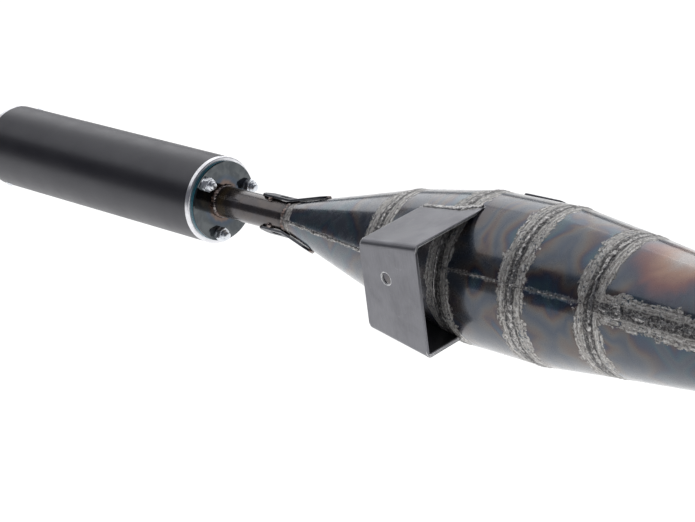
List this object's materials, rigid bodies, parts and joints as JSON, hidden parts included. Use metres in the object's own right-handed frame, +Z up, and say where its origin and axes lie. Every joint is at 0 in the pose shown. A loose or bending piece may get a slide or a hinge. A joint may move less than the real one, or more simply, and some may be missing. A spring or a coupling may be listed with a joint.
{
  "type": "racing exhaust system",
  "caption": "Racing two-stroke exhaust: sprung port flange, header, fat expansion chamber, stinger and round black silencer with a frame bracket.",
  "frame": {"origin": "centre of the frame bracket's bolt hole, on the bracket's outer face", "axes": "+X along the silencer towards its tail, +Y out of the bracket's face towards the vehicle's frame (the face itself is turned 5.2 degrees about Z), +Z up"},
  "size_m": [1.1025, 0.2619, 0.1952],
  "materials": {
    "black_sleeve": "satin black coating with fine scratches",
    "polished_ring": "polished",
    "end_plate": "dark, polished, slightly tinted by heat",
    "teal_gasket": "glossy teal sealing edge",
    "bright_zinc": "bright zinc plated",
    "outlet_steel": "brushed, brown at the edge",
    "core_steel": "plain perforated sheet",
    "packing_wool": "packed glass wool",
    "stinger_steel": "drawn tube, dark brown under clear lacquer",
    "tinted_steel": "heat-tinted sheet under clear lacquer, scuffed grey beside the welds",
    "weld_metal": "rippled weld bead",
    "strap_steel": "plain plate",
    "bracket_steel": "satin plate with bright cut edges",
    "tab_steel": "dark plate",
    "header_steel": "heat-tinted brown",
    "flange_steel": "machined",
    "seal_black": "matt heat-proof seal",
    "spring_wire": "bright spring wire"
  },
  "bodies": {
    "exhaust": {"silencer_sleeve": "black_sleeve", "front_bung": "polished_ring", "end_plate_gasket": "teal_gasket", "inlet_end_plate": "end_plate", "end_plate_studs": "bright_zinc", "end_plate_washers": "bright_zinc", "end_plate_nuts": "bright_zinc", "tail_bung": "polished_ring", "tail_bung_rivets": "bright_zinc", "outlet_tip": "outlet_steel", "perforated_core": "core_steel", "fibre_packing": "packing_wool", "stinger_pipe": "stinger_steel", "stinger_welds": "weld_metal", "baffle_cone": "tinted_steel", "rear_cone": "tinted_steel", "belly": "tinted_steel", "front_cone": "tinted_steel", "diffuser": "tinted_steel", "header_cone": "tinted_steel", "header_bend": "header_steel", "circumferential_welds": "weld_metal", "seam_welds": "weld_metal", "upper_gusset_strap": "strap_steel", "lower_gusset_strap": "strap_steel", "gusset_tack_welds": "weld_metal", "frame_bracket": "bracket_steel", "bracket_welds": "weld_metal", "side_tab": "tab_steel", "header_socket": "header_steel", "header_spring_lugs": "header_steel", "upper_spring": "spring_wire", "lower_spring": "spring_wire"},
    "port_joint": {"port_flange": "flange_steel", "seal_rings": "seal_black", "flange_spring_lugs": "flange_steel"}
  },
  "joints": [
    {"name": "slip_joint_swivel", "type": "hinge", "parent": "exhaust", "child": "port_joint", "pos_m": [-0.52539, 0.10033, 0.07068], "axis": [-0.3884, 0.8319, 0.3964], "range_deg": [-8, 8], "deforming": ["upper_spring", "lower_spring"]}
  ]
}
